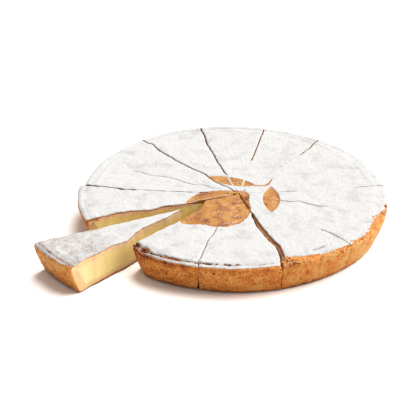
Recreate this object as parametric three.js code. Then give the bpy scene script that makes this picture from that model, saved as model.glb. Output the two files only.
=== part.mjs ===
// A covered lemon tart, cut into fourteen slices that keep the round, with one slice drawn part-way out.
// Each slice is two solids: the pastry, with base, side wall and lid in one, and the filling inside it.
// Millimetres, +Z up, +Y away from the viewer. The cuts' angles run anticlockwise from +X.
import * as THREE from "three";

// The whole tart
const RIM_RADIUS = 140;
const TART_HEIGHT = 28.8;
const BASE_THICKNESS = 4.2;
const WALL_THICKNESS = 8.5;
const LID_THICKNESS = 5.5;
const FILLING_CLEARANCE = 0.35;

// The side wall leans in from the rim to the base, most near the table.
const BASE_INSET = 9;
const WALL_TOP = 26.4;
const WALL_CURVE = 1.35;
const WALL_STEPS = 6;

// The rim from the wall to the lid, as [distance in from the rim, height]: low lip, furrow, edge of the lid
const LIP_PROFILE = [
  [0.8, 27.5],
  [2.4, 28.2],
  [4.6, 28.2],
  [6.8, 27.0],
  [8.8, 28.0],
  [11, 28.7],
];
const LIP_INNER_STEP = 1.2;
const LID_INSET = 14;
const LID_SWELL = 0.35;
const LID_SWELL_LENGTH = 19;

// Where the cuts meet, from the rim's centre, and how far from there the slices' tips end
const HUB = new THREE.Vector2(3.2, -2.7);
const TIP_RADIUS = 2;
const DISC_FRACTIONS = [0.15, 0.27, 0.4, 0.6, 0.82];

// A cut is narrow at the hub, reaches its own width a little way out, and wavers along its length.
const HUB_GAP = 0.35;
const CUT_GAP = 0.9;
const GAP_GROWS_TO = 25;
const SWAY = 0.4;
const SWAY_LENGTH = 16;
const STEP_DEGREES = 5.2;

// Corners where pastry has broken away: the angle about the hub, the spread along the rim, the depth, and the
// heights between which the loss grows from nothing to the full depth. The wall's inside gives way by a share.
const BROKEN_LIP = { angle: 288.5, spread: 2.4, depth: 4, none: 16, full: 27 };
const WORN_CORNER = { angle: 225, spread: 4, depth: 8, none: -1, full: 0 };
const INNER_LOSS = 0.5;

// The slice before the empty place leans across it near the hub: [distance from the hub, sideways].
const LEANING_SIDE = [
  [0, 0],
  [27, -11.6],
  [38, -5.8],
  [65, -2.4],
  [80, 0],
];

// One entry a slice: the cut at its start, that cut's extra width at the top of the rim, how far the slice
// reaches past or short of the rim, how far it has slid outwards, its broken corner and its leaning side.
const SLICES = [
  { cut: 7, reach: -1.8 },
  { cut: 30, reach: 0.5 },
  { cut: 55, reach: 0.1 },
  { cut: 79, reach: 0.5 },
  { cut: 106, widening: 0.3, reach: 1.2 },
  { cut: 130.5, widening: 0.3, reach: -0.3 },
  { cut: 155, reach: -0.6 },
  { cut: 175, reach: 0, slide: 4.5 },
  { cut: 200, reach: 0, drawn: true },
  { cut: 225, reach: 0.7, chip: WORN_CORNER, leaning: LEANING_SIDE },
  { cut: 253.5, reach: 0.2 },
  { cut: 286.5, widening: 2.8, reach: -0.4, chip: BROKEN_LIP },
  { cut: 316.5, reach: 0.6 },
  { cut: 344.5, reach: -0.8 },
];

// The drawn slice: where its tip stands, from the rim's centre, and how far it has turned
const DRAWN_TIP = new THREE.Vector2(-49, -33.2);
const DRAWN_TURN = 5.8;

const PASTRY = new THREE.MeshStandardMaterial({ color: 0xc98a4b, roughness: 0.85, metalness: 0 });
const FILLING = new THREE.MeshStandardMaterial({ color: 0xe9cf86, roughness: 0.5, metalness: 0 });

const { degToRad, radToDeg, lerp, smoothstep, clamp } = THREE.MathUtils;

// The distance from the hub, along a direction, to a circle about the rim's centre
function distanceToCircle(angle, radius) {
  const along = HUB.x * Math.cos(angle) + HUB.y * Math.sin(angle);
  return Math.sqrt(along * along + radius * radius - HUB.lengthSq()) - along;
}

// How far in from the rim the outside of the wall lies at a height
function wallInset(height) {
  return BASE_INSET * (1 - clamp(height / WALL_TOP, 0, 1)) ** WALL_CURVE;
}

function chipDepth(chip, angle, height) {
  const away = (radToDeg(angle) - chip.angle) / chip.spread;
  const share = clamp((height - chip.none) / (chip.full - chip.none), 0, 1);
  return chip.depth * Math.exp(-away * away) * share;
}

function lidSwell(x, y) {
  const chequered = Math.sin(x / LID_SWELL_LENGTH + 1) * Math.cos(y / LID_SWELL_LENGTH);
  return LID_SWELL * (chequered + Math.sin((x - y) / LID_SWELL_LENGTH));
}

// A cut's own line, sideways from its straight course, and its half width, both at a distance from the hub
function cutSway(index, distance) {
  const settled = clamp(distance / RIM_RADIUS, 0, 1);
  return SWAY * settled * Math.sin(distance / SWAY_LENGTH + 2.4 * index);
}

function cutHalfGap(slice, distance, height) {
  const opened = clamp(distance / GAP_GROWS_TO, 0, 1);
  const outwards = clamp(distance / RIM_RADIUS, 0, 1);
  const widening = (slice.widening ?? 0) * outwards * clamp(height / TART_HEIGHT, 0, 1);
  return (lerp(HUB_GAP, CUT_GAP, opened) + widening) / 2;
}

// The sideways place at a distance, between the knots of a side's table
function leaningShift(knots, distance) {
  const after = knots.findIndex(([place]) => place > distance);
  if (after < 0) return knots.at(-1)[1];
  const [nearPlace, nearShift] = knots[after - 1];
  const [farPlace, farShift] = knots[after];
  return lerp(nearShift, farShift, (distance - nearPlace) / (farPlace - nearPlace));
}

// The stations along the pastry's section, from the base's tip round the wall to the lid's tip. A station
// pairs a point on the outside with one on the inside. A point is a height and a share of the disc or an
// inset, and its loss is the share of a broken corner's depth that it gives way by.
function pastrySection() {
  const lidUnder = TART_HEIGHT - LID_THICKNESS;
  const tip = { tip: true };
  const disc = [tip, ...DISC_FRACTIONS.map((share) => ({ share }))];
  const stations = disc.map((place) => ({
    outer: { ...place, height: 0 },
    inner: { ...place, height: BASE_THICKNESS },
  }));
  for (let step = 0; step <= WALL_STEPS; step++) {
    const rise = step / WALL_STEPS;
    const height = WALL_TOP * rise;
    stations.push({
      outer: { inset: wallInset(height), height, loss: 1 },
      inner: {
        inset: WALL_THICKNESS + BASE_INSET * (1 - rise),
        height: lerp(BASE_THICKNESS, lidUnder, rise),
        loss: INNER_LOSS,
      },
    });
  }
  LIP_PROFILE.forEach(([inset, height], index) => {
    const inwards = LIP_INNER_STEP * (index + 1);
    const innerLoss = INNER_LOSS * (1 - inwards / LID_INSET);
    stations.push({
      outer: { inset, height, loss: 1 - inset / LID_INSET },
      inner: { inset: WALL_THICKNESS + inwards, height: lidUnder, loss: innerLoss },
    });
  });
  stations.push({
    outer: { inset: LID_INSET, height: TART_HEIGHT, swells: true },
    inner: { inset: LID_INSET + WALL_THICKNESS, height: lidUnder },
  });
  const lid = [...DISC_FRACTIONS.map((share) => ({ share })).reverse(), tip];
  lid.forEach((place) => {
    stations.push({
      outer: { ...place, height: TART_HEIGHT, swells: true },
      inner: { ...place, height: lidUnder },
    });
  });
  return stations;
}

// The filling's stations, from its tip out to the wall: the outside is its underside, the inside its top.
function fillingSection() {
  const bottom = BASE_THICKNESS + FILLING_CLEARANCE;
  const top = TART_HEIGHT - LID_THICKNESS - FILLING_CLEARANCE;
  const disc = [{ tip: true }, ...DISC_FRACTIONS.map((share) => ({ share }))];
  const stations = disc.map((place) => ({
    outer: { ...place, height: bottom },
    inner: { ...place, height: top },
  }));
  const wall = WALL_THICKNESS + 2 * FILLING_CLEARANCE;
  stations.push({
    outer: { inset: wall + BASE_INSET, height: bottom, loss: INNER_LOSS },
    inner: { inset: wall, height: top, loss: INNER_LOSS },
  });
  return stations;
}

// A point of slice number index, at a share of the way from its first cut to its second
function slicePoint(index, across, place) {
  const slice = SLICES[index];
  const next = SLICES[(index + 1) % SLICES.length];
  const start = degToRad(slice.cut);
  const span = degToRad((next.cut - slice.cut + 360) % 360);
  const middle = start + span * across;
  const reach = slice.reach * Math.sin(Math.PI * clamp(across, 0.1, 0.9));
  const chip = place.loss && slice.chip ? place.loss * chipDepth(slice.chip, middle, place.height) : 0;
  const discEdge = RIM_RADIUS + reach - LID_INSET - WALL_THICKNESS - BASE_INSET;

  let distance = TIP_RADIUS;
  if (place.share) distance = place.share * distanceToCircle(middle, discEdge);
  if (place.inset !== undefined) distance = distanceToCircle(middle, RIM_RADIUS + reach - place.inset - chip);

  const leaning = slice.leaning ? leaningShift(slice.leaning, distance) : 0;
  const firstSway = cutSway(index, distance) + leaning;
  const lastSway = cutSway((index + 1) % SLICES.length, distance);
  const first = start + (firstSway + cutHalfGap(slice, distance, place.height)) / distance;
  const last = start + span + (lastSway - cutHalfGap(next, distance, place.height)) / distance;
  const angle = lerp(first, last, across);

  const x = distance * Math.cos(angle);
  const y = distance * Math.sin(angle);
  const raised = place.swells ? lidSwell(x, y) * smoothstep(distance, TIP_RADIUS, RIM_RADIUS / 3) : 0;
  return new THREE.Vector3(x, y, place.height + raised);
}

// A closed solid swept from a slice's first cut to its second. The outer and inner skins join at the two cut
// faces and at the section's two ends.
function slicedSolid(index, section) {
  const next = SLICES[(index + 1) % SLICES.length];
  const spanDegrees = (next.cut - SLICES[index].cut + 360) % 360;
  const steps = Math.ceil(spanDegrees / STEP_DEGREES);
  const positions = [];
  for (const side of ["outer", "inner"])
    for (const station of section)
      for (let step = 0; step <= steps; step++)
        positions.push(...slicePoint(index, step / steps, station[side]).toArray());

  const row = steps + 1;
  const skin = section.length * row;
  const outer = (station, step) => station * row + step;
  const inner = (station, step) => skin + station * row + step;
  const triangles = [];
  const quad = (a, b, c, d) => triangles.push(a, b, c, a, c, d);

  const end = section.length - 1;
  for (let here = 0; here < end; here++) {
    const there = here + 1;
    for (let step = 0; step < steps; step++) {
      quad(outer(here, step), outer(here, step + 1), outer(there, step + 1), outer(there, step));
      quad(inner(here, step), inner(there, step), inner(there, step + 1), inner(here, step + 1));
    }
    quad(outer(here, 0), outer(there, 0), inner(there, 0), inner(here, 0));
    quad(inner(here, steps), inner(there, steps), outer(there, steps), outer(here, steps));
  }
  for (let step = 0; step < steps; step++) {
    quad(outer(0, step + 1), outer(0, step), inner(0, step), inner(0, step + 1));
    quad(outer(end, step), outer(end, step + 1), inner(end, step + 1), inner(end, step));
  }

  const geometry = new THREE.BufferGeometry();
  geometry.setAttribute("position", new THREE.Float32BufferAttribute(positions, 3));
  geometry.setIndex(triangles);
  geometry.computeVertexNormals();
  return geometry;
}

function namedMesh(name, geometry, material) {
  const mesh = new THREE.Mesh(geometry, material);
  mesh.name = name;
  return mesh;
}

// One slice: pastry and filling in a group that stands at the hub, slid or drawn out of the round where it is
function makeSlice(index) {
  const slice = SLICES[index];
  const label = String(index + 1).padStart(2, "0");
  const group = new THREE.Group();
  group.add(namedMesh(`pastry_${label}`, slicedSolid(index, pastrySection()), PASTRY));
  group.add(namedMesh(`filling_${label}`, slicedSolid(index, fillingSection()), FILLING));
  const next = SLICES[(index + 1) % SLICES.length];
  const heading = degToRad(slice.cut + ((next.cut - slice.cut + 360) % 360) / 2);
  const slide = slice.slide ?? 0;
  group.position.set(slide * Math.cos(heading), slide * Math.sin(heading), 0);
  if (slice.drawn) {
    group.position.set(DRAWN_TIP.x - HUB.x, DRAWN_TIP.y - HUB.y, 0);
    group.rotation.z = degToRad(DRAWN_TURN);
  }
  return group;
}

// The tart, with the origin on the table under the middle of its bounding box
function makeTart() {
  const tart = new THREE.Group();
  SLICES.forEach((_, index) => tart.add(makeSlice(index)));
  const middle = new THREE.Box3().setFromObject(tart, true).getCenter(new THREE.Vector3());
  tart.position.set(-middle.x, -middle.y, 0);
  return tart;
}

const group = new THREE.Group();
group.add(makeTart());

export default group;
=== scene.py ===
"""A covered lemon tart in fourteen slices, one drawn part-way out: its crust, sugar, glaze and filling.

Lengths are millimetres, times MM where Blender takes metres. Angles are degrees, anticlockwise from +X.
A slice is worked out about its hub, the point where the cuts meet, and then set in its place.
Places seen from above are complex numbers, x + yj.
"""
import itertools
import math

import bmesh
import bpy
import numpy as np
from mathutils import Matrix, Vector

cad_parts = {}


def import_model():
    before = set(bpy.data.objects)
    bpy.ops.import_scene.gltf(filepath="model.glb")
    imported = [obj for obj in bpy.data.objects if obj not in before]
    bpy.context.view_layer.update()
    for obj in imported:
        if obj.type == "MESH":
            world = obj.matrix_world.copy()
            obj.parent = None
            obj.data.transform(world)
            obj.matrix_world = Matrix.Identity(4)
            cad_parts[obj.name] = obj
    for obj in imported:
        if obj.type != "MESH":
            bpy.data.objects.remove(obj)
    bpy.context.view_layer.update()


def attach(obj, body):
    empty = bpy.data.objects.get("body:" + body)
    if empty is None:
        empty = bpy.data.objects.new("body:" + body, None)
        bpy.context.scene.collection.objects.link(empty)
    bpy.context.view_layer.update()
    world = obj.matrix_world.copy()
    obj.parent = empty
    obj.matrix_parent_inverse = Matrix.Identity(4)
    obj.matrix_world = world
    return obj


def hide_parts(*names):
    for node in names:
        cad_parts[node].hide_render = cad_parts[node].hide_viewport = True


MM = 0.001

# The whole tart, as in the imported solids
RIM_CENTRE = 18.58 + 0.47j
HUB = 3.2 - 2.7j
RIM_RADIUS = 140.0
TART_HEIGHT = 28.8
BASE_THICKNESS = 4.2
WALL_THICKNESS = 8.5
LID_THICKNESS = 5.5
LID_BOTTOM = TART_HEIGHT - LID_THICKNESS
BASE_INSET = 9.0
WALL_TOP = 26.4
WALL_CURVE = 1.35
FOOT_ROUNDING = 1.1
FOOT_ROUND_HEIGHT = 1.6
LID_INSET = 14.0
# The rim's section, as [way in from its edge, height]
RIM_PROFILE = [
    (0.0, WALL_TOP), (0.8, 27.5), (2.4, 28.2), (4.6, 28.2), (6.8, 27.0), (8.8, 28.0), (11.0, 28.7),
    (LID_INSET, TART_HEIGHT),
]
LID_SWELL = 0.35
LID_SWELL_LENGTH = 19.0
TIP_RADIUS = 1.0

# By slice: how far its rim reaches past the rim's circle, which one is drawn, and which has slid outwards
SLICE_REACH = [-1.8, 0.5, 0.1, 0.5, 1.2, -0.3, -0.6, 0.0, 0.0, 0.7, 0.2, -0.4, 0.6, -0.8]
DRAWN = 8
DRAWN_TIP = -49.0 - 33.2j
DRAWN_TURN = 5.8
SLID = {7: 4.5}

# Each cut, with distances from the hub. A slice lies between its cut and the next one.
# open      where it stands open, as [from, to]; sugar has closed the rest
# wave      how it strays, as [distance, sideways]
# gap       its width where it is open
# bare      how much sugar has dropped from its edges, from 0 to 1
# widening  what its width gains at the top, as [distance, gain]
# gapes     whether it gapes down the wall too
# seam      its width down the wall, and foot, how much wider it is at the wall's foot
# groove    how far out glaze has run into it and left only a groove
CUTS = {
    7: dict(
        open=[(2, 12), (34, 56), (104, 138)], gap=0.5,
        wave=[(40, -1.5), (51, -1.2), (57, 0.3), (104, -0.5), (113, 1.3), (123, 1.8), (129, 3), (137, 0.4)],
    ),
    30: dict(open=[(2, 9)], wave=[(40, 0.8), (70, -0.6), (100, 1.0), (130, -0.5)]),
    55: dict(
        open=[(2, 12), (96, 145)], bare=0.4,
        wave=[(30, 0.6), (70, -0.8), (98, -2.5), (107, -2.3), (118, -1.5), (130, 0.8), (138, 0.5), (143, -2)],
    ),
    79: dict(open=[(2, 8), (66, 145)], wave=[(69, 0.9), (83, 0.2), (102, 0.4), (119, 0.1)], bare=0.4),
    106: dict(
        open=[(2, 10), (36, 145)], bare=0.3, widening=[(10, 0), (60, 0.3)],
        wave=[(17, 1), (38, 0.4), (52, 1.2), (69, 1.4), (88, 0.3), (105, 0.3), (127, -2.6), (137, -2.5)],
    ),
    130.5: dict(
        open=[(2, 145)], bare=0.3, widening=[(10, 0), (60, 0.3)],
        wave=[
            (10, 0), (17, -1), (24, 1), (34, 1.4), (42, 0.6), (49, -1), (58, 0.7), (68, 1.8), (79, 2.3),
            (95, 1.3), (109, 0.7), (118, -0.3), (129, -2.6), (134, -1.2), (141, -0.2),
        ],
    ),
    155: dict(
        open=[(16, 112)], gap=0.35,
        wave=[
            (18, -1.2), (27, 0.4), (33, -1.5), (38, -1.6), (46, 2), (54, 1.9), (61, 0.7), (71, -0.2),
            (79, 0.6), (87, 2.8), (94, 1.9), (103, 0.6), (110, 1.3),
        ],
    ),
    175: dict(
        open=[(88, 108), (122, 145)], gap=0.5, bare=0.2,
        wave=[(40, 0.5), (90, 3.3), (98, 2.6), (104, 3.4), (110, 1.7), (119, -0.4), (127, -1.6), (141, -3.2)],
    ),
    200: dict(open=[(0, 150)], bare=0.3, gapes=True, groove=24),
    225: dict(open=[(0, 150)], gapes=True, groove=24),
    253.5: dict(
        open=[(66, 145)], gap=0.4, bare=0.1, foot=1.8, seam=0.35,
        wave=[
            (30, 0.8), (68, -1), (77, -0.5), (85, -1.6), (94, -1.6), (104, -1.1), (113, -0.7), (122, 0.2),
            (128, 0.3), (134, 2.2), (140, 3.8),
        ],
    ),
    286.5: dict(
        open=[(0, 33), (37, 150)], gap=0.6, bare=0.3, gapes=True, groove=34,
        wave=[(39, -0.5), (61, -1), (77, 0.1), (92, 1.2), (102, 2.7), (112, 2.1), (124, 0.1), (133, -2.9)],
        widening=[(0, 0.9), (30, 1.1), (38, 1.0), (60, 3.0), (150, 3.2)],
    ),
    316.5: dict(
        open=[(96, 138)], gap=0.4, foot=1.0,
        wave=[(40, 0.6), (80, -1), (110, 0.8), (126, 0), (134, -2), (141, -3.4)],
    ),
    344.5: dict(
        open=[(34, 86)], gap=0.8, bare=0.2,
        wave=[(41, -2.7), (48, -1.8), (54, 1), (58, 1.5), (64, -0.8), (74, -2.4), (83, -0.7), (120, 0.6)],
    ),
}
SHUT_GAP = 0.03
OPEN_GAP = 0.7
HUB_GAP = 0.5
GAP_GROWS_TO = 25.0
OPENING_RAMP = 5.0
WIDENS_FROM = 23.4
JAGS = 0.35
# Distances from the hub between which a cut leaves the lid and enters the wall
WALL_REACHED = (112, 124)

# The mesh: stations along the section, columns across a slice, rows down a cut face
BASE_STATIONS = 34
WALL_STATIONS = 46
LIP_STATIONS = 26
LID_STATIONS = 132
COLUMNS_PER_DEGREE = 2.9
INNER_COLUMNS = 8
HIDDEN_ROWS = 7
PASTRY_ROWS = 15
FILLING_ROWS = 20
FILLING_STATIONS = 90
EDGE_CROWDING = 0.5
SHARP_FROM = 62.0


# ---------------- numbers

def step(value, low, high):
    """0 up to the low value and 1 from the high one, smooth between; low may be the larger."""
    share = np.clip((value - low) / (high - low), 0, 1)
    return share * share * (3 - 2 * share)


def near(value, middle, width):
    return np.exp(-(((value - middle) / width) ** 2))


def angle_from(degrees, middle):
    """The signed difference of two angles, in degrees."""
    return (degrees - middle + 180) % 360 - 180


def around(degrees, middle, width):
    """1 where the angle is the middle one, falling off to both sides."""
    return near(angle_from(degrees, middle), 0, width)


def along_knots(knots, place, column=1):
    """The height, at a place, of the line through knots given as [place, height, ...]."""
    knots = np.array(knots, dtype=float)
    return np.interp(place, knots[:, 0], knots[:, column])


def turned(degrees):
    """One millimetre along a heading; times a place, it turns the place about the origin."""
    return np.exp(1j * np.radians(degrees))


def hashed(cells, seed):
    """A number in 0..1 for each whole-numbered cell, the same on every run."""
    x, y, z = np.moveaxis(cells, -1, 0).astype(np.int64).astype(np.uint32)
    mixed = x * 374761393 + y * 668265263 + z * 2246822519
    mixed = mixed + np.uint32((seed * 3266489917) % 2**32)
    mixed = (mixed ^ (mixed >> 15)) * 2246822519
    mixed = (mixed ^ (mixed >> 13)) * 3266489917
    mixed = mixed ^ (mixed >> 16)
    return (mixed & 0xFFFFFF) / float(0x1000000)


def noise(points, size, seed):
    """Smooth noise in -1..1 with lumps of about the given size."""
    scaled = points / size
    cell = np.floor(scaled)
    part = scaled - cell
    part = part * part * (3 - 2 * part)
    total = 0.0
    for corner in itertools.product((0, 1), repeat=3):
        weight = np.prod(np.where(corner, part, 1 - part), axis=-1)
        total = total + weight * hashed(cell + np.array(corner), seed)
    return 2 * total - 1


def fractal(points, size, seed):
    """Noise with two finer layers on it, still in -1..1."""
    layers = (noise(points, size / 2**k, seed + 17 * k) / 2**k for k in range(3))
    return sum(layers) / 1.75


def pits(points, spacing, radius, seed):
    """1 in the middle of each scattered pit, falling to 0 at its edge."""
    cell = np.floor(points / spacing)
    deepest = np.zeros(points.shape[:-1])
    for offset in itertools.product((-1, 0, 1), repeat=3):
        corner = cell + np.array(offset)
        jitter = np.stack([hashed(corner, seed + k) for k in range(3)], axis=-1)
        away = np.linalg.norm(points - (corner + jitter) * spacing, axis=-1)
        size = radius * (0.45 + hashed(corner, seed + 3))
        deepest = np.maximum(deepest, 1 - away / size)
    return step(deepest, 0, 0.8)


# ---------------- the tart's form

# Of a broken corner's depth, what the pastry's inner side gives way by
INNER_LOSS = 0.5


def distance_to_circle(angle, radius):
    """From the hub, along a direction in radians, to a circle about the rim's centre."""
    along = (HUB * np.exp(-1j * angle)).real
    return np.sqrt(along**2 + radius**2 - abs(HUB) ** 2) - along


def wall_inset(height):
    rounded_foot = FOOT_ROUNDING * np.clip(1 - height / FOOT_ROUND_HEIGHT, 0, 1) ** 2
    return BASE_INSET * (1 - np.clip(height / WALL_TOP, 0, 1)) ** WALL_CURVE + rounded_foot


def softened(path, passes):
    """The path with its corners rounded; its ends stay."""
    for _ in range(passes):
        path = np.vstack([path[:1], (path[:-2] + 2 * path[1:-1] + path[2:]) / 4, path[-1:]])
    return path


def pastry_section():
    """Stations from the base's tip round the wall to the lid's tip, outside and inside.

    A station is [inset of the circle it is measured to, share of the way to it, height, share of a broken
    corner's depth that it gives way by].
    """
    foot_inset = wall_inset(0.0)
    outer, inner = [], []
    for share in np.sin(np.linspace(0, math.pi / 2, BASE_STATIONS, endpoint=False)):
        outer.append((foot_inset, share, 0.0, share**4))
        inner.append((WALL_THICKNESS + BASE_INSET, share, BASE_THICKNESS, INNER_LOSS * share**4))
    for rise in np.linspace(0, 1, WALL_STATIONS, endpoint=False):
        outer.append((wall_inset(WALL_TOP * rise), 1.0, WALL_TOP * rise, 1.0))
        inner_height = BASE_THICKNESS + (LID_BOTTOM - BASE_THICKNESS) * rise
        inner.append((WALL_THICKNESS + BASE_INSET * (1 - rise), 1.0, inner_height, INNER_LOSS))
    for place in np.linspace(0, LID_INSET, LIP_STATIONS, endpoint=False):
        loss = 1 - place / LID_INSET
        outer.append((place, 1.0, along_knots(RIM_PROFILE, place), loss))
        inner.append((WALL_THICKNESS + place, 1.0, LID_BOTTOM, INNER_LOSS * loss))
    for share in np.linspace(1, 0, LID_STATIONS):
        outer.append((LID_INSET, share, TART_HEIGHT, 0.0))
        inner.append((LID_INSET + WALL_THICKNESS, share, LID_BOTTOM, 0.0))
    return softened(np.array(outer), 2), softened(np.array(inner), 14)


def measured(outer, inner):
    """Each station's way along the outside from the rim's top edge, its normal, and the crust's thickness."""
    radius, inner_radius = ((RIM_RADIUS - side[:, 0]) * side[:, 1] for side in (outer, inner))
    steps = np.stack([np.gradient(radius), np.gradient(outer[:, 2])], axis=-1)
    length = np.linalg.norm(steps, axis=-1)
    run = np.cumsum(length)
    normal = np.stack([steps[:, 1], -steps[:, 0]], axis=-1) / length[:, None]
    across = np.stack([radius - inner_radius, outer[:, 2] - inner[:, 2]], axis=-1)
    thickness = np.abs((across * softened(normal, 30)).sum(axis=-1))
    return run - run[BASE_STATIONS + WALL_STATIONS], normal, thickness


def cut_opening(cut, distance):
    opened = np.zeros_like(distance)
    for start, end in CUTS[cut]["open"]:
        ramps = step(distance, start, start + OPENING_RAMP)
        opened = np.maximum(opened, ramps * (1 - step(distance, end - OPENING_RAMP, end)))
    return opened


def cut_closing(cut, distance, height):
    """How far a cut is closed, by sugar at the lid and by the crust down the wall."""
    groove = CUTS[cut].get("groove", 0.0)
    bridged = step(height, TART_HEIGHT - 4, TART_HEIGHT - 1.5) * (1 - cut_opening(cut, distance))
    glazed = step(distance, groove, groove - 4.0)
    bridged = np.maximum(bridged, glazed * step(height, TART_HEIGHT - 0.4, TART_HEIGHT - 2.6))
    in_wall = 0.0 if CUTS[cut].get("gapes") else step(distance, *WALL_REACHED)
    return np.maximum(bridged, in_wall * (1 - step(height, TART_HEIGHT - 5, TART_HEIGHT - 2)))


def cut_half_gap(cut, distance, height, closed):
    """Half a cut's width: it grows outward, and towards the top where the lid has pulled apart."""
    form = CUTS[cut]
    grown = np.clip(distance / GAP_GROWS_TO, 0, 1)
    full = HUB_GAP + (form.get("gap", OPEN_GAP) - HUB_GAP) * grown
    widening = along_knots(form.get("widening", [(0, 0)]), distance)
    full = full + widening * step(height, WIDENS_FROM, TART_HEIGHT + 0.7)
    in_wall = form.get("foot", 0.0) * (1 - step(height, 3, 12)) + form.get("seam", 0.0) * closed
    return (full + (SHUT_GAP - full) * closed + in_wall * step(distance, *WALL_REACHED)) / 2


def cut_line(cut, distance):
    """A cut's own line, sideways from its straight course."""
    line = along_knots([(0, 0), *CUTS[cut].get("wave", [])], distance)
    along = np.stack([distance, np.full_like(distance, cut), np.zeros_like(distance)], axis=-1)
    return line + JAGS * noise(along, 5.0, 3) * step(distance, 3, 20)


def lid_swell(plan):
    x, y = plan.real / LID_SWELL_LENGTH, plan.imag / LID_SWELL_LENGTH
    swell = LID_SWELL * (np.sin(x + 1) * np.cos(y) + np.sin(x - y))
    return swell * step(abs(plan), TIP_RADIUS, RIM_RADIUS / 3)


# ---------------- the slices' tables

# How a cut face that shows wavers, as [distance from the hub, sideways at the lid, sideways at the table]
SHOWN_FACES = {
    (7, "last"): [
        (3, 0.7, 0), (24, 1.2, 0), (32, 0.4, 0), (50, 1.2, 0.4), (65, 0.6, 0.2), (80, 2.0, 0.4),
        (95, 0.6, 0.2), (112, -0.4, 0), (127, 1.3, 0.6), (139, 2.6, 1.0),
    ],
    (8, "first"): [(30, 0, 0), (90, 0.4, 0.4), (117, 1.2, 1.0), (141, 2.4, 1.2)],
    (8, "last"): [
        (20, 0.2, 0), (35, -1.4, -0.5), (49, -2.6, -0.8), (65, -1.0, -0.5), (73, 0.8, 0),
        (80, -0.6, -0.4), (92, -2.7, -1.0), (108, -3.2, -1.6), (123, -4.6, -2.2), (137, -4.0, -2.6),
    ],
    (9, "first"): [
        (3, -1.2, -1.2), (33, -13.6, -11.6), (38, -9.8, -8.4), (44, -6.4, -5.8), (52, -3.8, -3.0),
        (65, -2.4, -1.6), (80, 0, 0), (100, -0.3, 0), (120, 0.6, 0.2), (132, -0.8, 0),
    ],
    (11, "first"): [(20, 0.3, 0), (60, 0.8, 0), (100, 0.9, 0), (140, 0.4, 0)],
}

# How brown the crumb is on those faces and, in the lid, how rosy and brightened as painted light; the faces
# in the narrow cuts are painted dark brown as shade
FACE_LOOKS = {
    (7, "last"): (-0.05, 1.0), (8, "first"): (0.15, 0.3), (8, "last"): (0.08, 0.3),
    (9, "first"): (0.2, 0.4), (11, "first"): (0.14, 1.0),
}
# Faces hidden in the narrow cuts: crumb painted dark brown as shade
HIDDEN_LOOK = (1.0, 0.0)
LID_TOAST = 0.2
BASE_TOAST = 0.3
# How much browner the crumb is at a slice's outer end, and how much its filling is brightened as painted
# light
END_TOAST = {7: 0.5}
FILLING_PAINTED_LIGHT = {7: 0.5, 8: 0.12}
# Heights between which the crumb becomes the lid's
LID_CRUMB = (21, 24)

# How far the lid stands above or below its mean height along those cuts, as [distance from the hub, height]
LID_SAGS = {
    (7, "last"): [
        (20, 0), (50, -0.8), (65, -0.2), (80, -1.1), (95, -0.3), (112, 0), (127, -0.7), (139, -1.8),
    ],
    (8, "last"): [
        (20, 0), (35, 0.5), (50, 0.8), (62, 0.3), (72, -1.0), (80, -0.5), (92, 0.2), (123, 0.7), (140, 0),
    ],
    (8, "first"): [(30, 0), (60, 0.3), (85, -0.6), (110, 0.2), (140, 0.8)],
}
SAG_REACH = 16.0

# Corners where pastry has broken away, as [slice, angle about the hub, spread along the rim, depth, height
# where it begins, height where it is full]
CHIPS = [(11, 288.5, 2.4, 4.0, 16.0, 27.0), (9, 225.0, 4.0, 8.0, -1.0, 0.0)]

# Hollows in the rim, as [slice, angle about the hub, way in from the rim's edge, radius, depth]
HOLLOWS = [
    (9, 226.0, 4.0, 9.0, 1.3), (9, 231.5, 7.0, 6.0, 1.0), (10, 264.2, 8.8, 1.3, 0.9),
    (10, 265.6, 8.2, 1.6, 1.0), (10, 268.6, 8.6, 1.4, 0.8), (11, 289.5, 4.5, 5.0, 1.6),
    (13, 351.0, 1.0, 3.0, 0.9),
]

# The stencilled figure, from the rim's centre: a lemon with a pointed end either way, and two leaves on stems
LEMON_MIDDLE = -17.0 - 32.0j
LEMON_RADIUS = 32.4
LEMON_OVAL = 2.2
OVAL_HEADING = 275.0
# as [heading, length, spread]
LEMON_ENDS = [(222.0, 11.0, 16.0), (50.0, 9.5, 18.0)]
LEAVES = [(-25.0 + 30.3j, 19.0 + 12.6j), (32.8 + 10.5j, 32.0 - 38.5j)]
LEAF_HALF_WIDTH = 7.8
LEAF_PALENESS = 0.12
# as [start, end, half the width]
STEMS = [(17 + 12.8j, 27.1 + 12.6j, 1.1), (27.1 + 12.6j, 30.5 + 16.5j, 1.2), (30.5 + 16.5j, 34 + 25.4j, 0.7)]
FAR_OUTSIDE = -50.0
# Sugar has run along these cuts where they cross the upper leaf
LEAF_CUTS = (79, 106)
WRINKLE_HEADING = 205.0
WRINKLE_DEPTH = 0.4
# Darker patches of the figure, as [place, radius, strength]
BRUISES = [
    (11 - 13j, 4.0, 0.55), (-33 - 51j, 9.0, 0.34), (-14 - 60j, 9.0, 0.26), (-26 - 9j, 12.0, 0.28),
    (2 - 31j, 2.6, 0.4), (-2 - 22j, 1.8, 0.5), (35 + 5j, 5.0, 0.3), (38.5 - 9j, 2.6, 0.6),
    (27 - 24j, 2.2, 0.4), (32.5 - 36j, 3.0, 0.3),
]

# Where the sugar begins, as [angle about the rim's centre, way in from the rim's top edge]
SUGAR_EDGE = [
    (0, 0.2), (100, 0), (135, -0.6), (170, -0.3), (180, 0.2), (196, 0.3), (203, 0.5), (220, 0.8),
    (226, 3.6), (232, 1.8), (250, 1.6), (262, 2.0), (272, 2.4), (284, 3.0), (287.5, 3.5), (289, 16),
    (292, 15), (295.5, 12), (299, 9), (303, 6.5), (309, 4), (316, 4.5), (321, 5), (326, 4.5), (334, 7.5),
    (341, 9), (345, 5), (348, 1.2), (352, 0.6), (360, 0.2),
]
SUGAR_DEPTH = 0.45
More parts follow.
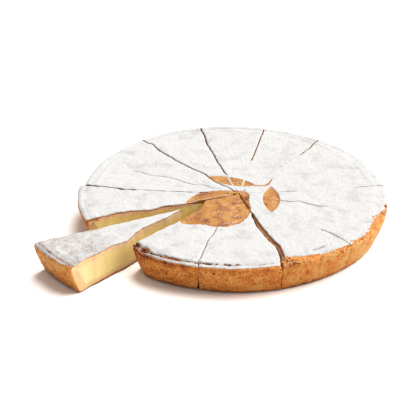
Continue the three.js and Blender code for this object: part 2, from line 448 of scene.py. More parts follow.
# Angles about the rim's centre between which the rim is bare and crumbly
ROUGH_FROM = (285, 289)
ROUGH_TO = (350, 358)

# The furrow behind the lip: its way in from the rim's edge, its half width, and how bare it is, which also
# greys its sugar as painted shade
FURROW_RUN = 8.2
FURROW_WIDTH = 1.7
DRAWN_FURROW_RUN = 4.4
DRAWN_FURROW_BARENESS_AND_SHADE = 0.68
# How far the furrow lies below the rim's plain slope, as [way in from the rim's edge, depth]
FURROW_DIP = [(0.0, 0.0), (2.4, 0.0), (4.6, 0.25), (6.8, 1.45), (8.8, 0.6), (11.0, 0.1), (14.0, 0.0)]

# The rim stands higher at the back, and so does the drawn slice's far corner
BACK_LIFT = 1.4
BACK = 118.0
CORNER_LIFT = 1.5
LEVEL_SPREAD = 0.14
# Angles about the rim's centre where the wall is painted darker as shade and paler as light, as [angle,
# spread, change]
WALL_LIGHT_AND_SHADE = [(236, 22, 0.10), (320, 30, -0.17), (350, 18, -0.08)]
# The drawn slice's wall is painted paler: painted light
DRAWN_WALL_PAINTED_LIGHT = -0.12
FRONT_LEFT = 239.0


def slice_span(index):
    """The angle of a slice's first cut, and the angle from there to the next cut."""
    cuts = list(CUTS)
    return cuts[index], (cuts[(index + 1) % len(cuts)] - cuts[index]) % 360


def slice_offset(index):
    start, span = slice_span(index)
    return SLID.get(index, 0.0) * turned(start + span / 2)


def slice_lot(index, y, z, seed):
    """A number in -1..1 for each slice."""
    return 2 * hashed(np.array([[index, y, z]]), seed).item() - 1


def into_place(index, points):
    """From the slice's own frame to the part's, in millimetres."""
    turn, offset = 1.0, HUB + slice_offset(index)
    if index == DRAWN:
        turn, offset = turned(DRAWN_TURN), DRAWN_TIP
    place = (points[..., 0] + 1j * points[..., 1]) * turn + offset + RIM_CENTRE
    return np.stack([place.real, place.imag, points[..., 2]], axis=-1)


# ---------------- the stencilled figure

def lemon_depth(place):
    away = place - LEMON_MIDDLE
    heading = np.degrees(np.angle(away))
    edge = LEMON_RADIUS + LEMON_OVAL * np.cos(2 * np.radians(heading - OVAL_HEADING))
    for towards, length, spread in LEMON_ENDS:
        edge = edge + length * around(heading, towards, spread)
    return edge - abs(away)


def leaf_depth(place, start, end):
    """How deep a place lies inside a pointed leaf between two ends."""
    half_length = abs(end - start) / 2
    radius = (half_length**2 + LEAF_HALF_WIDTH**2) / (2 * LEAF_HALF_WIDTH)
    offset = 1j * (radius - LEAF_HALF_WIDTH)
    level = (place - (start + end) / 2) / (end - start) * 2 * half_length
    return radius - np.maximum(abs(level - offset), abs(level + offset))


def stem_depth(place, start, end, radius):
    share = np.clip(((place - start) / (end - start)).real, 0, 1)
    return radius - abs(place - start - share * (end - start))


def leaves_depth(place):
    parts = [leaf_depth(place, *leaf) for leaf in LEAVES] + [stem_depth(place, *stem) for stem in STEMS]
    return np.maximum.reduce(parts)


# ---------------- a slice's surface

def rows_down(index, shown_rows):
    """How many rows of the mesh go down a slice's cut faces."""
    shown = any((index, side) in SHOWN_FACES for side in ("first", "last"))
    return shown_rows if shown else HIDDEN_ROWS


def ring_layout(columns, rows):
    """One closed ring round a slice's skin and cut faces, as [share across the slice, share of the depth]."""
    even = np.linspace(0, 1, columns + 1)
    outside = even - EDGE_CROWDING * np.sin(2 * math.pi * even) / (2 * math.pi)
    down = np.arange(1, rows) / rows
    inside = np.linspace(1, 0, INNER_COLUMNS + 1)
    across = np.concatenate([outside, np.ones(rows - 1), inside, np.zeros(rows - 1)])
    depth = np.concatenate([np.zeros(columns + 1), down, np.ones(INNER_COLUMNS + 1), down[::-1]])
    return across, depth


def side_shift(index, side, distance, height):
    knots = SHOWN_FACES.get((index, side), [(0, 0, 0)])
    at_lid, at_table = (along_knots(knots, distance, column) for column in (1, 2))
    return at_table + (at_lid - at_table) * np.clip(height / TART_HEIGHT, 0, 1) ** 1.5


def face_relief(index, side, distance, height):
    """How far the cut face lies inside its plane: crumbs and small holes."""
    flat = np.stack([distance, height, np.full_like(distance, 40.0 * index + (side == "last"))], axis=-1)
    seed = 300 + index
    if (index, side) not in SHOWN_FACES:
        return 0.1 * fractal(flat, 2.4, seed)
    crumbs = 0.28 * fractal(flat, 2.6, seed) + 0.12 * noise(flat, 0.9, seed + 5)
    return crumbs + 0.4 * pits(flat, 3.1, 0.8, seed + 9)


class Surface:
    """A slice's grid of points about its hub, and where on the slice each one lies."""

    def __init__(self, index, outer, inner, rows, columns):
        across, depth = ring_layout(columns, rows)
        self.index = index
        self.across = np.broadcast_to(across, (len(outer), len(across)))
        self.depth = np.broadcast_to(depth, self.across.shape)
        blend = depth[None, :, None]
        station = outer[:, None, :] * (1 - blend) + inner[:, None, :] * blend
        self.inset, self.share, self.height, self.loss = np.moveaxis(station, -1, 0)
        self.lay_out()

    def lay_out(self):
        start, span = slice_span(self.index)
        following = (start + span) % 360
        middle = np.radians(start + span * self.across)
        reach = SLICE_REACH[self.index] * np.sin(math.pi * np.clip(self.across, 0.1, 0.9))
        worn = self.chips(np.degrees(middle)) * self.loss
        to_circle = distance_to_circle(middle, RIM_RADIUS + reach - self.inset - worn)
        self.distance = TIP_RADIUS + self.share * (to_circle - TIP_RADIUS)
        first = math.radians(start) + self.side("first", start, 1)
        last = math.radians(start + span) + self.side("last", following, -1)
        self.angle = first + (last - first) * self.across
        # Each of the slice's two cuts, with how far from it the points lie
        self.sides = {
            "first": (start, (self.angle - first) * self.distance),
            "last": (following, (last - self.angle) * self.distance),
        }
        self.plan = self.distance * np.exp(1j * self.angle)
        self.points = np.stack([self.plan.real, self.plan.imag, self.height], axis=-1)
        self.rim_angle = np.degrees(np.angle(self.plan + HUB)) % 360

    def side(self, side, cut, inward):
        """How far a side of the slice turns from its straight cut, in radians."""
        closed = cut_closing(cut, self.distance, self.height)
        relief = face_relief(self.index, side, self.distance, self.height) * (1 - closed)
        gap = cut_half_gap(cut, self.distance, self.height, closed) + np.maximum(relief, 0.0)
        line = cut_line(cut, self.distance) + side_shift(self.index, side, self.distance, self.height)
        return (line + inward * gap) / self.distance

    def chips(self, angle):
        total = np.zeros_like(angle)
        for index, middle, spread, depth, none, full in CHIPS:
            if index == self.index:
                share = np.clip((self.height - none) / (full - none), 0, 1)
                total += depth * share * around(angle, middle, spread)
        return total


def filling_section():
    """Stations from the filling's tip to its end at the wall, reaching just into the crust around it."""
    reach_in = 0.8
    inset = WALL_THICKNESS - reach_in
    shares = np.sin(np.linspace(0, math.pi / 2, FILLING_STATIONS))
    levels = [(inset + BASE_INSET, BASE_THICKNESS - reach_in), (inset, LID_BOTTOM + reach_in)]
    return [np.array([(way_in, s, height, INNER_LOSS * s**4) for s in shares]) for way_in, height in levels]


class Crust(Surface):
    """A slice's pastry: base, side wall and lid, and what their relief and colours depend on."""

    def __init__(self, index):
        outer, inner = pastry_section()
        columns = round(slice_span(index)[1] * COLUMNS_PER_DEGREE)
        super().__init__(index, outer, inner, rows_down(index, PASTRY_ROWS), columns)
        run, self.normal, thickness = measured(outer, inner)
        self.run = np.broadcast_to(run[:, None], self.across.shape)
        self.thickness = thickness[:, None]
        self.under = self.depth * self.thickness
        self.drawn = float(index == DRAWN)
        self.top = step(self.run, 0, 1.2)
        self.lid = step(self.run, 11, 16)
        self.wall = (1 - self.top) * step(self.run, -32, -28)
        self.rough_rim = step(self.rim_angle, *ROUGH_FROM) * (1 - step(self.rim_angle, *ROUGH_TO))
        # The rim unrolled, in millimetres, with noise on it drawn out along the rim
        self.unrolled = np.stack([self.rim_angle * 2.4, self.run * 2.2, self.height], axis=-1)
        self.find_figure()
        self.find_furrow()
        self.find_wear()

    def find_figure(self):
        """How deep inside the lemon and the leaves each point lies, and the glazed crust's folds."""
        self.place = self.plan + HUB + slice_offset(self.index)
        self.lemon, self.leaves = FAR_OUTSIDE, FAR_OUTSIDE
        if self.index != DRAWN:
            ragged = 0.8 * fractal(self.points, 6.0, 71)
            self.lemon = lemon_depth(self.place) + ragged + 0.7 * noise(self.points, 1.8, 72)
            self.leaves = leaves_depth(self.place) + 0.4 * ragged
        self.figure = np.maximum(self.lemon, self.leaves)
        self.folds = self.wrinkles() * step(self.figure, 0, 3) * self.lid

    def find_furrow(self):
        """The furrow behind the lip: deepest at the front left, and full of sugar at the back; where it is
        bare, its greyed sugar and darkened marks are painted shade.
        """
        share, run, width = DRAWN_FURROW_BARENESS_AND_SHADE, DRAWN_FURROW_RUN, FURROW_WIDTH
        if self.index != DRAWN:
            left, front = around(self.rim_angle, FRONT_LEFT, 20), around(self.rim_angle, 272, 22)
            share = 0.05 + 0.95 * left + 0.42 * front
            run = FURROW_RUN - 1.4 * around(self.rim_angle, 238, 14)
            width = FURROW_WIDTH + 1.6 * np.clip(share, 0, 1)
        self.bareness_and_shade = np.clip(share, 0, 1)
        self.furrow = near(self.run, run, width) * self.top
        marks = step(1.2 * share * self.furrow + 0.9 * fractal(self.unrolled, 3.0, 23), 0.65, 1.0)
        self.marks = marks * step(self.furrow, 0.1, 0.4)

    def find_wear(self):
        """Hollows and pits: how deep the hollows are, and where sugar and crust are worn away."""
        self.hollowed, self.worn = np.zeros_like(self.run), np.zeros_like(self.run)
        for index, angle, run, radius, depth in HOLLOWS:
            if index == self.index:
                sideways = np.radians(angle_from(np.degrees(self.angle), angle)) * self.distance
                closeness = np.exp(-(sideways**2 + (self.run - run) ** 2) / radius**2)
                self.hollowed += depth * closeness
                self.worn = np.maximum(self.worn, closeness)
        wall_pits = np.maximum(0.7 * pits(self.points, 3.4, 0.9, 31), pits(self.points, 5.6, 1.3, 35))
        self.wall_pits = self.wall * wall_pits * (0.35 + 0.65 * step(self.height, 3, 12))
        self.rim_pits = self.rough_rim * near(self.run, 4, 5) * pits(self.points, 3.2, 1.0, 63)

    def wrinkles(self):
        """Crooked folds in the glazed crust, most of them drawn out along the lemon."""
        level = self.plan / turned(WRINKLE_HEADING)
        along = level.real + 3.0 * noise(self.points, 9.0, 106)
        beside = level.imag + 2.5 * noise(self.points, 7.0, 107)
        flat = np.stack([along / 1.7, beside, np.zeros_like(along)], axis=-1)
        creases = step(1 - 7.0 * np.abs(fractal(flat, 4.6, 101)), 0.0, 1.0)
        return creases * (0.15 + 0.85 * step(noise(self.points, 13.0, 108), -0.5, 0.3))

    def bruises(self):
        """Darker patches of the glazed crust."""
        ragged = 0.6 * fractal(self.points, 5.0, 73)
        total = 0.0
        for middle, radius, strength in BRUISES:
            away = self.place - middle
            depth = 1.2 - np.hypot(away.real, 0.6 * away.imag) / radius
            total = total + strength * step(depth + ragged, 0, 0.8)
        return total

    def bare_edge(self):
        """Sugar has dropped from the very edge of each cut that stands open."""
        ragged = 0.3 * noise(self.points, 1.6, 104) + 0.3 * noise(self.points, 6.0, 105)
        least = 9.0
        for cut, away in self.sides.values():
            dropped = cut_opening(cut, self.distance) * CUTS[cut].get("bare", 0.0)
            least = np.minimum(least, away - (0.6 * dropped + ragged * dropped - 0.3 * (1 - dropped)))
        return 1.2 * least

    def cover(self):
        """How far inside the sugar's edge each point lies, in millimetres."""
        torn = fractal(self.points, 3.2, 11) * (0.8 + 2.4 * self.rough_rim)
        torn = torn + (0.3 + 1.2 * self.rough_rim) * noise(self.points, 1.1, 12)
        cover = np.minimum(self.run - along_knots(SUGAR_EDGE, self.rim_angle) + torn, -self.figure)
        for cut, away in self.sides.values():
            if cut in LEAF_CUTS:
                filled = np.where(self.leaves > -2, 0.8 - away, cover)
                cover = np.maximum(cover, np.minimum(filled, 2.0))
        flaked = 3.5 - 7 * self.worn + 2.6 * step(fractal(self.unrolled, 1.8, 25), 0.1, 0.5)
        cover = np.minimum.reduce([cover, flaked, 2.5 - 4.2 * self.marks, self.bare_edge()])
        spilt = step(noise(self.points, 1.5, 26), -0.1, 0.5) * self.drawn * self.depth
        return cover - 2.5 * self.under + 3.2 * spilt * np.exp(-self.under / 1.3) * self.top

    def dust_and_shade(self):
        """How thickly the sugar lies, from 0 to 1; in the furrow it is thinned to grey as painted shade."""
        gritty = 0.7 + 0.3 * fractal(self.unrolled, 3.0, 24)
        # The furrow's sugar is thinned to grey where it is bare: painted shade
        dust_and_shade = 1 - 0.9 * self.furrow * self.bareness_and_shade * gritty - self.worn
        patches = step(fractal(self.points, 22.0, 121), 0.05, 0.7)
        if self.index == DRAWN:
            outer_end = step(self.distance, 62, 100) * (1 - 0.8 * near(self.run, 1.6, 1.8))
            return dust_and_shade - (0.10 + 0.32 * outer_end + 0.16 * patches)
        left = around(self.rim_angle, 175, 40) * step(self.distance, 40, 120)
        streak = around(self.rim_angle, 304, 8) * near(self.run, 15, 2)
        streak = streak * step(noise(self.points, 4, 122), -0.3, 0.3)
        lip = 0.5 * near(self.run, 1.5, 2) * around(self.rim_angle, FRONT_LEFT, 20)
        return dust_and_shade - ((0.10 + 0.16 * left) * patches + 0.12 * near(self.run, 6, 4) + 0.7 * streak + lip)

    def relief(self, cover):
        """How far the surface stands out from its plain form, square to it."""
        points, run, top, wall = self.points, self.run, self.top, self.wall
        sugared = step(cover, -0.4, 0.6)
        relief = -SUGAR_DEPTH * (1 - sugared) * top
        relief += top * sugared * (0.16 * noise(points, 1.5, 41) + 0.26 * fractal(points, 6.0, 42))
        dip = along_knots(FURROW_DIP, self.inset) * top * (self.share > 0.999)
        relief += (1 - 0.7 * self.bareness_and_shade) * dip - 0.45 * self.marks
        relief += BACK_LIFT * around(self.rim_angle, BACK, 50) * near(run, 2.5, 5)
        relief += CORNER_LIFT * self.drawn * near(self.across, 0, 0.4) * near(run, 4.5, 8) * top
        relief += 0.35 * near(run, 4.2, 2.2) * noise(points, 9.0, 43)
        relief += wall * (0.34 * fractal(points, 4.5, 51) + 0.20 * noise(points, 1.3, 52))
        broken = 0.7 * fractal(points, 2.6, 61) - 0.5 * pits(points, 4, 1.3, 62)
        relief += self.rough_rim * near(run, 4.5, 5) * broken
        relief -= 0.2 * (1 - top) * (1 - wall) * (0.5 + 0.5 * fractal(points, 6.0, 66))
        relief -= 0.6 * self.wall_pits + 0.3 * self.rim_pits + WRINKLE_DEPTH * self.folds
        relief -= self.hollowed + self.edge_fall() * top
        return relief * (1 - self.depth) + 0.45 * fractal(points, 5.0, 81) * self.depth

    def edge_fall(self):
        """The lid rounds over, unevenly, at the cuts that stand open."""
        uneven = 1 + 0.8 * noise(self.points, 3.0, 111)
        falls = (cut_opening(cut, self.distance) * np.exp(-away / 0.6) for cut, away in self.sides.values())
        return 0.6 * sum(falls) * uneven

    def raised(self):
        """The lid's swell, its rise or fall towards the cuts that show, and the slice's own level."""
        total = lid_swell(self.plan) + LEVEL_SPREAD * slice_lot(self.index, 5, 9, 7)
        for side, (_, away) in self.sides.items():
            sag = along_knots(LID_SAGS.get((self.index, side), [(0, 0)]), self.distance)
            total = total + sag * near(away, 0, SAG_REACH)
        return total * self.lid * (1 - self.depth)

    def shaped(self, cover):
        """The points with the relief and the lid's rise and fall."""
        shift = self.relief(cover)
        outward = shift * self.normal[:, None, 0] * np.exp(1j * self.angle)
        upward = shift * self.normal[:, None, 1] + self.raised()
        return self.points + np.stack([outward.real, outward.imag, upward], axis=-1)

    def bake(self, points):
        """How brown the crust is, from 0 to 1, with painted shade at the foot, in the pits and in the
        furrow's marks, and painted light and shade on the wall by side.
        """
        # Darker at the foot: painted shade where the crust meets the floor, with the foot's browning
        bake = 0.38 + 0.28 * fractal(points, 8.0, 91) + 0.5 * near(self.height, 0, 2.5)
        # The pits are darkened as painted shade; the wall is painted lighter and darker by side, as light and
        # shade
        bake += 0.75 * self.wall_pits + self.wall * self.wall_light_and_shade()
        bake += 0.3 * near(self.run, 0, 2.5) * self.bareness_and_shade * (1 - self.drawn)
        # The furrow's marks are bare crust darkened as painted shade; the rim's pits are darkened as painted
        # shade
        bake += 0.5 * self.worn + 0.55 * self.marks + 0.8 * self.rim_pits
        return bake - 0.12 * self.rough_rim * near(self.run, 3, 7)

    def wall_light_and_shade(self):
        """The wall is painted darkest at the front left, as shade, and palest at the right, as light; the
        drawn slice's wall is painted paler as light, and each slice differs a little at random.
        """
        if self.index == DRAWN:
            return DRAWN_WALL_PAINTED_LIGHT
        tones = sum(change * around(self.rim_angle, angle, spread) for angle, spread, change in WALL_LIGHT_AND_SHADE)
        return tones + 0.08 * slice_lot(self.index, 2, 3, 9)

    def face_look(self, column):
        """The look of the slice's faces, one turning into the other across the slice."""
        first, last = (FACE_LOOKS.get((self.index, side), HIDDEN_LOOK)[column] for side in self.sides)
        return first + (last - first) * step(self.across, 0.3, 0.7)

    def toast_light_and_shade(self):
        """How brown the cut crumb is: by its face, where it holds painted light and shade, more in the lid,
        and pale where it meets the filling.
        """
        by_filling = near(self.thickness - self.under, 0, 1.1)
        in_lid = step(self.height, *LID_CRUMB) * step(self.distance, 128, 112)
        in_base = step(self.height, 5, 3) * step(self.distance, 118, 108)
        in_end = step(self.distance, 124, 131) * step(self.height, 14, 22)
        # The face's look brings painted light and shade into the crumb
        toast_light_and_shade = self.face_look(0) + END_TOAST.get(self.index, 0.0) * in_end
        return toast_light_and_shade + in_lid * (LID_TOAST - 0.35 * by_filling) + BASE_TOAST * in_base


def build_pastry(index, material):
    crust = Crust(index)
    cover = crust.cover()
    points = crust.shaped(cover)
    # The cut faces turn crust-dark in blotches at the foot: the foot's browning, and painted shade where it
    # meets the floor
    burnt_and_shaded_foot = near(crust.height, 0, 1.5) * step(noise(points, 2.6, 95), -0.3, 0.5)
    values = {
        "cover": cover,
        "dust_and_shade": crust.dust_and_shade(),
        "under": crust.under * (1 + 2.0 * crust.drawn * crust.top) - 2.2 * burnt_and_shaded_foot * crust.depth,
        "bake": crust.bake(points),
        "toast_light_and_shade": crust.toast_light_and_shade(),
        "rose_and_painted_light": crust.face_look(1) * step(crust.height, *LID_CRUMB),
        "glaze": crust.figure - 2.0 * crust.under,
        "fold": crust.folds + crust.bruises() - LEAF_PALENESS * (crust.leaves > crust.lemon),
    }
    piece = add_slice_piece(f"pastry_{index + 1:02d}_baked", index, points, values, material)
    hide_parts(f"pastry_{index + 1:02d}")


def build_filling(index, material):
    outer, inner = filling_section()
    surface = Surface(index, outer, inner, rows_down(index, FILLING_ROWS), INNER_COLUMNS)
    edge = (LID_BOTTOM - BASE_THICKNESS) / 2 - np.abs(surface.height - (LID_BOTTOM + BASE_THICKNESS) / 2)
    wall_end = distance_to_circle(surface.angle, RIM_RADIUS - WALL_THICKNESS) - BASE_INSET
    wall_end = wall_end + BASE_INSET * surface.height / TART_HEIGHT
    values = {
        "edge": np.minimum(edge, wall_end - surface.distance),
        "low": surface.height - BASE_THICKNESS,
        "inward": 1 - surface.distance / RIM_RADIUS,
        # Painted light: brightens the filling of slices in shade, more towards the tip
        "painted_light": FILLING_PAINTED_LIGHT.get(index, 0.0) * (1 + 0.9 * step(surface.distance, 70, 40)),
    }
    piece = add_slice_piece(f"filling_{index + 1:02d}_cream", index, surface.points, values, material)
    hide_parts(f"filling_{index + 1:02d}")


# ---------------- meshes

def tube_faces(stations, ring):
    """Faces of a tube of rings, closed at both ends by fans to two more vertices."""
    here = np.arange(ring)
    after = (here + 1) % ring
    row = np.arange(stations - 1)[:, None] * ring
    quads = np.stack([row + here, row + after, row + ring + after, row + ring + here], axis=-1)
    first_end = stations * ring
    last_row = (stations - 1) * ring
    fans = [(first_end, b, a) for a, b in zip(here, after)]
    fans += [(first_end + 1, last_row + a, last_row + b) for a, b in zip(here, after)]
    return quads.reshape(-1, 4).tolist() + np.array(fans).tolist()


def with_end_points(values):
    """A grid of rings flattened, with the means of its first and last ring after it."""
    ends = np.stack([values[0].mean(axis=0), values[-1].mean(axis=0)])
    return np.concatenate([values.reshape(-1, *values.shape[2:]), ends])


def add_object(name, data):
    added = bpy.data.objects.new(name, data)
    bpy.context.scene.collection.objects.link(added)
    return added


def add_mesh(name, vertices, faces, values, material):
    """A smooth mesh, from millimetres, with the values as attributes of its points."""
    mesh = bpy.data.meshes.new(name)
    mesh.from_pydata((vertices * MM).tolist(), [], faces)
    for key, value in values.items():
        flat = np.broadcast_to(value, len(vertices)).astype(np.float32)
        mesh.attributes.new(key, "FLOAT", "POINT").data.foreach_set("value", flat)
    mesh.shade_smooth()
    mesh.materials.append(material)
    return add_object(name, mesh)


def add_slice_piece(name, index, points, values, material):
    """A closed tube of rings, set in its slice's place."""
    vertices = into_place(index, with_end_points(points))
    flat = {key: with_end_points(np.broadcast_to(value, points.shape[:2])) for key, value in values.items()}
    piece = add_mesh(name, vertices, tube_faces(*points.shape[:2]), flat, material)
    piece.data.set_sharp_from_angle(angle=math.radians(SHARP_FROM))
    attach(piece, "root")
    return piece


# Loose crumbs on the rim, as [angles about its centre, ways in from its edge, how many, largest radius]
CRUMB_PATCHES = [
    ((287, 296), (1.0, 13.0), 46, 1.0),
    ((296, 352), (0.5, 7.0), 150, 0.8),
    ((226, 236), (3.0, 8.0), 14, 0.7),
]
CRUMB_SUNK = 0.35
CRUMB_LOOK = {"cover": -5.0, "dust_and_shade": 0.0, "bake": 0.3, "toast_light_and_shade": 0.25, "rose_and_painted_light": 0.2, "glaze": -9.0, "fold": 0.0}


def make_crumbs(material):
    """Small broken bits of crust where the rim is bare, as one mesh."""
    random = np.random.default_rng(20)
    ball = bmesh.new()
    bmesh.ops.create_icosphere(ball, subdivisions=2, radius=1.0)
    ball.verts.index_update()
    unit = np.array([vertex.co[:] for vertex in ball.verts])
    faces = np.array([[vertex.index for vertex in face.verts] for face in ball.faces])
    ball.free()
    vertices, paleness = [], []
    for angles, insets, count, largest in CRUMB_PATCHES:
        for _ in range(count):
            out = turned(random.uniform(*angles))
            inset = random.uniform(*insets)
            radius = largest * random.uniform(0.35, 1.0)
            place = RIM_CENTRE + (RIM_RADIUS - inset) * out
            middle = [place.real, place.imag, along_knots(RIM_PROFILE, inset) - CRUMB_SUNK]
            lumps = 1 + 0.45 * noise(unit * 1.3 + random.uniform(0, 50, 3), 1.0, 5)[:, None]
            size = radius * random.uniform(0.6, 1.2, 3)
            vertices.append(middle + unit * lumps * size)
            paleness.append(random.uniform(0, 1))
    polygons = np.concatenate([faces + len(unit) * number for number in range(len(vertices))]).tolist()
    values = {**CRUMB_LOOK, "under": 3.0 * np.repeat(paleness, len(unit))}
    piece = add_mesh("crumbs", np.concatenate(vertices), polygons, values, material)
    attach(piece, "root")


# ---------------- materials

# What a surface as bright as the screen's white reflects: the white floor is lit beyond white
WHITE_ALBEDO = 0.45
CREAM_ALBEDO = 0.57
CRUMB_ALBEDO = 0.56
# Brighter than the plain crumb: painted light on rosy crumb in shade
ROSY_PAINTED_LIGHT_ALBEDO = 0.92
# Painted light on filling that lies in shade
PAINTED_LIGHT_CREAM_ALBEDO = 0.95


def linear(red, green, blue, white=WHITE_ALBEDO):
    """A colour given as 0..255 screen values, as the share of light that a surface of it reflects."""
    shares = (channel / 255 for channel in (red, green, blue))
    straight = (s / 12.92 if s <= 0.04045 else ((s + 0.055) / 1.055) ** 2.4 for s in shares)
    return (*(white * s for s in straight), 1.0)


class Graph:
    """A material's nodes, written as expressions of their outputs."""

    def __init__(self, name):
        self.material = bpy.data.materials.new(name)
        self.material.use_nodes = True
        self.tree = self.material.node_tree
        self.tree.nodes.clear()
        self.place = self.add("TexCoord").outputs["Object"]

    def add(self, kind, inputs=(), **settings):
        node = self.tree.nodes.new("ShaderNode" + kind)
        for key, value in settings.items():
            setattr(node, key, value)
        for key, value in dict(inputs).items():
            if isinstance(value, bpy.types.NodeSocket):
                self.tree.links.new(value, node.inputs[key])
            else:
                node.inputs[key].default_value = value
        return node

    def value(self, name):
        return self.add("Attribute", attribute_name=name).outputs["Fac"]

    def math(self, operation, first, second=0.0):
        return self.add("Math", {0: first, 1: second}, operation=operation).outputs[0]

    def times(self, first, second):
        return self.math("MULTIPLY", first, second)

    def plus(self, *terms):
        """The sum of the terms; a term that is a pair is a value and its weight."""
        total, *others = (self.times(*term) if isinstance(term, tuple) else term for term in terms)
        for term in others:
            total = self.math("ADD", total, term)
        return total

    def lumps(self, size, detail=2.0, stretch=(1, 1, 1)):
        """Noise in -1..1 with lumps of a size in millimetres."""
        scale = Vector(stretch) / (size * MM)
        mapping = self.add("Mapping", {"Vector": self.place, "Scale": scale})
        inputs = {"Vector": mapping.outputs[0], "Scale": 1.0, "Detail": detail}
        texture = self.add("TexNoise", inputs)
        return self.times(self.math("SUBTRACT", texture.outputs[0], 0.5), 2.0)

    def step(self, value, low, high):
        inputs = {"Value": value, "From Min": low, "From Max": high}
        return self.add("MapRange", inputs, interpolation_type="SMOOTHSTEP").outputs[0]

    def blend(self, share, first, second):
        return self.add("Mix", {0: share, 6: first, 7: second}, data_type="RGBA").outputs[2]

    def blend_number(self, share, first, second):
        return self.add("Mix", {0: share, 2: first, 3: second}, data_type="FLOAT").outputs[0]

    def ramp(self, value, stops):
        """Colours along a value, as (value, red, green, blue), and the albedo where it isn't white's."""
        node = self.add("ValToRGB", {0: value})
        elements = node.color_ramp.elements
        while len(elements) < len(stops):
            elements.new(0.5)
        for element, (position, *colour) in zip(elements, stops):
            element.position = position
            element.color = linear(*colour)
        return node.outputs[0]

    def bump(self, height, depth):
        return self.add("Bump", {"Height": height, "Distance": depth * MM}).outputs[0]

    def finish(self, colour, roughness, normal, **constants):
        inputs = {"Base Color": colour, "Roughness": roughness, "Normal": normal, **constants}
        shader = self.add("BsdfPrincipled", inputs)
        output = self.add("OutputMaterial")
        self.tree.links.new(shader.outputs[0], output.inputs["Surface"])
        return self.material


def pastry_material():
    g = Graph("baked_pastry")
    cover, dust_and_shade, under = g.value("cover"), g.value("dust_and_shade"), g.value("under")
    grain, fine, blotch = g.lumps(1.5, detail=3.0), g.lumps(0.6), g.lumps(11.0, detail=3.0)

    streaked = g.lumps(2.6, detail=4.0, stretch=(1.0, 1.0, 0.6))
    crust = g.ramp(g.plus(g.value("bake"), (grain, 0.42), (blotch, 0.30), (streaked, 0.5)), [
        (0.0, 255, 196, 114), (0.36, 250, 154, 60), (0.66, 202, 106, 35), (0.88, 134, 60, 20),
        (1.0, 66, 28, 12),
    ])

    pale_light, pale_dark = linear(255, 226, 166, CRUMB_ALBEDO), linear(244, 188, 120, CRUMB_ALBEDO)
    pale = g.blend(g.step(grain, -0.4, 0.6), pale_light, pale_dark)
    # The rosy crumb, brighter than the plain crumb: partly the lid crumb's colour, partly painted light on
    # faces in shade
    rosy_light, rosy_dark = linear(255, 216, 176, ROSY_PAINTED_LIGHT_ALBEDO), linear(222, 150, 104, ROSY_PAINTED_LIGHT_ALBEDO)
    rosy_painted_light = g.blend(g.step(g.plus(fine, grain), -0.4, 0.7), rosy_light, rosy_dark)
    pale = g.blend(g.value("rose_and_painted_light"), pale, rosy_painted_light)
    toasted_light_and_shade = g.plus(g.value("toast_light_and_shade"), (grain, 0.25), (g.step(under, 3.5, 0.8), 0.3))
    brown_crumb = g.ramp(toasted_light_and_shade, [
        (0.45, 234, 176, 122, CRUMB_ALBEDO), (0.75, 214, 134, 78, CRUMB_ALBEDO), (1.0, 130, 70, 38),
    ])
    crumb = g.blend(g.step(toasted_light_and_shade, 0.3, 0.6), pale, brown_crumb)
    body = g.blend(g.step(g.plus(under, (grain, 0.8)), 0.35, 1.5), crust, crumb)

    glazed = g.step(g.plus(g.value("glaze"), (fine, 0.35)), -0.1, 0.35)
    cloudy, rimmed = g.lumps(9.0, detail=4.0), g.step(g.value("glaze"), 2.2, 0.2)
    glaze_tone = g.plus((cloudy, 0.5), (grain, 0.24), (g.value("fold"), 0.36), (rimmed, 0.14), 0.37)
    glaze = g.ramp(glaze_tone, [
        (0.0, 242, 192, 106), (0.35, 226, 156, 74), (0.6, 190, 116, 58), (0.8, 148, 85, 52),
        (1.0, 84, 48, 38),
    ])
    body = g.blend(glazed, body, glaze)

    covered = g.step(g.plus(cover, (fine, 0.7)), -0.2, 0.35)
    uneven = g.plus((g.lumps(1.6, detail=3.0), 0.4), (g.lumps(6.5), 0.28), 0.36)
    # Where the sugar is thick and not greyed as painted shade in the furrow
    dusted_and_unshaded = g.step(g.math("SUBTRACT", dust_and_shade, uneven), -0.08, 0.42)
    clouds = g.step(g.lumps(15.0, detail=4.0), -0.05, 0.42)
    specks = g.step(g.plus(g.lumps(1.7, detail=3.0), (fine, 0.6), (clouds, 0.2)), 0.05, 0.75)
    sugar = g.blend(g.times(clouds, 0.6), linear(248, 246, 243), linear(226, 223, 221))
    sugar = g.blend(g.times(specks, 0.8), sugar, linear(196, 192, 190))
    # Thin sugar greys towards the crust; in the furrow this grey is painted shade
    soaked = g.blend(g.step(grain, -0.4, 0.5), linear(172, 156, 146), linear(214, 200, 190))
    sugar = g.blend(dusted_and_unshaded, soaked, sugar)
    colour = g.blend(covered, body, sugar)

    roughness = g.blend_number(glazed, 0.72, g.plus(0.24, (grain, 0.12)))
    roughness = g.blend_number(covered, roughness, 0.95)
    crust_height = g.plus((grain, 0.8), (fine, 0.5), (streaked, 0.6))
    sugar_height = g.plus((fine, 0.6), (g.lumps(1.2), 0.6), (dusted_and_unshaded, 0.5))
    height = g.blend_number(glazed, crust_height, g.plus((cloudy, 1.6), (grain, 0.3)))
    height = g.blend_number(covered, height, sugar_height)
    constants = {"Specular IOR Level": 0.2, "Coat Roughness": 0.22, "Coat Weight": g.times(glazed, 0.3)}
    return g.finish(colour, roughness, g.bump(height, 0.25), **constants)


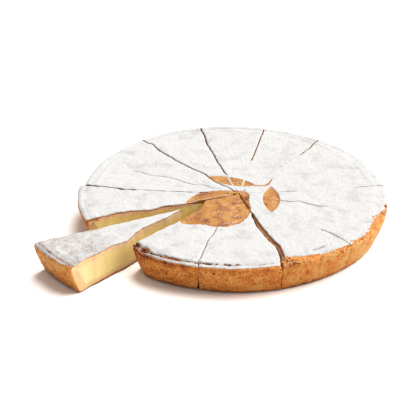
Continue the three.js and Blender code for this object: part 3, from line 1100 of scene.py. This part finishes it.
def filling_material():
    g = Graph("lemon_cream")
    cloud, pore = g.lumps(7.0, detail=3.0), g.lumps(0.9)
    cream = g.ramp(g.plus(g.value("inward"), (cloud, 0.10)), [
        (0.06, 255, 234, 176, CREAM_ALBEDO), (0.25, 250, 224, 148, CREAM_ALBEDO),
        (0.5, 246, 208, 122, CREAM_ALBEDO), (0.75, 242, 200, 118, CREAM_ALBEDO),
    ])
    edge = g.step(g.plus(g.value("edge"), cloud), 3.4, 0.4)
    colour = g.blend(g.times(edge, 0.45), cream, linear(250, 214, 158, CREAM_ALBEDO))
    soaked = g.step(g.plus(g.value("low"), (cloud, 1.2)), 2.4, 0.0)
    colour = g.blend(g.times(soaked, 0.75), colour, linear(226, 172, 92, CREAM_ALBEDO))
    # Painted light: the filling brightened on slices whose faces lie in shade
    colour = g.blend(g.value("painted_light"), colour, linear(255, 228, 142, PAINTED_LIGHT_CREAM_ALBEDO))
    colour = g.blend(g.times(g.step(pore, 0.35, 0.9), 0.35), colour, linear(222, 176, 96, CREAM_ALBEDO))
    height = g.plus((cloud, 0.4), (pore, 0.4))
    scatter = [MM * reach for reach in (4.0, 2.5, 1.0)]
    constants = {"Subsurface Weight": 0.2, "Subsurface Radius": scatter, "Subsurface Scale": 1.0}
    return g.finish(colour, g.plus(0.5, (pore, 0.08)), g.bump(height, 0.18), **constants)


# ---------------- camera, floor and light

CAMERA_TARGET = Vector((-4.63, 0.47, 9.644))
CAMERA_DISTANCE = 1577.3
CAMERA_ELEVATION = 28.388
CAMERA_ROLL = 0.395
CAMERA_SEES_TO = 20000.0
FOCAL_PIXELS = 1711.6
FRAME_PIXELS = 420
SENSOR_WIDTH = 36.0
FLOOR_HALF = 4000.0
FLOOR_DROP = 0.25
FLOOR_COLOUR = (1.0, 0.94, 0.88, 1.0)
SKY_STRENGTH = 0.43
SUN_STRENGTH = 7.6
SUN_SOFTNESS = 72.0
SUN_DIRECTION = (0.78, 0.50, 1.20)


def make_camera():
    turn = Matrix.Rotation(math.radians(90 - CAMERA_ELEVATION), 4, "X")
    turn = turn @ Matrix.Rotation(math.radians(CAMERA_ROLL), 4, "Z")
    place = CAMERA_TARGET + turn @ Vector((0, 0, CAMERA_DISTANCE))
    data = bpy.data.cameras.new("camera")
    data.lens = FOCAL_PIXELS / FRAME_PIXELS * SENSOR_WIDTH
    data.sensor_width = SENSOR_WIDTH
    data.clip_end = CAMERA_SEES_TO * MM
    camera = add_object("camera", data)
    camera.matrix_world = Matrix.Translation(place * MM) @ turn
    bpy.context.scene.camera = camera


def make_floor():
    half, low = FLOOR_HALF, -FLOOR_DROP
    corners = np.array([(-half, -half, low), (half, -half, low), (half, half, low), (-half, half, low)])
    g = Graph("white_floor")
    white = g.finish(FLOOR_COLOUR, 1.0, g.bump(g.lumps(20.0), 0.01))
    floor = add_mesh("floor", corners, [(0, 1, 2, 3)], {}, white)


def make_light():
    world = bpy.data.worlds.new("studio")
    world.use_nodes = True
    background = world.node_tree.nodes["Background"]
    background.inputs["Color"].default_value = (1.0, 1.0, 1.0, 1.0)
    background.inputs["Strength"].default_value = SKY_STRENGTH
    bpy.context.scene.world = world
    data = bpy.data.lights.new("key", "SUN")
    data.energy = SUN_STRENGTH
    data.angle = math.radians(SUN_SOFTNESS)
    add_object("key", data).rotation_euler = Vector(SUN_DIRECTION).to_track_quat("Z", "Y").to_euler()
    bpy.context.scene.view_settings.view_transform = "Standard"


def main():
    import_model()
    make_camera()
    make_light()
    make_floor()
    pastry, cream = pastry_material(), filling_material()
    for index in range(len(CUTS)):
        build_pastry(index, pastry)
        build_filling(index, cream)
    make_crumbs(pastry)


main()
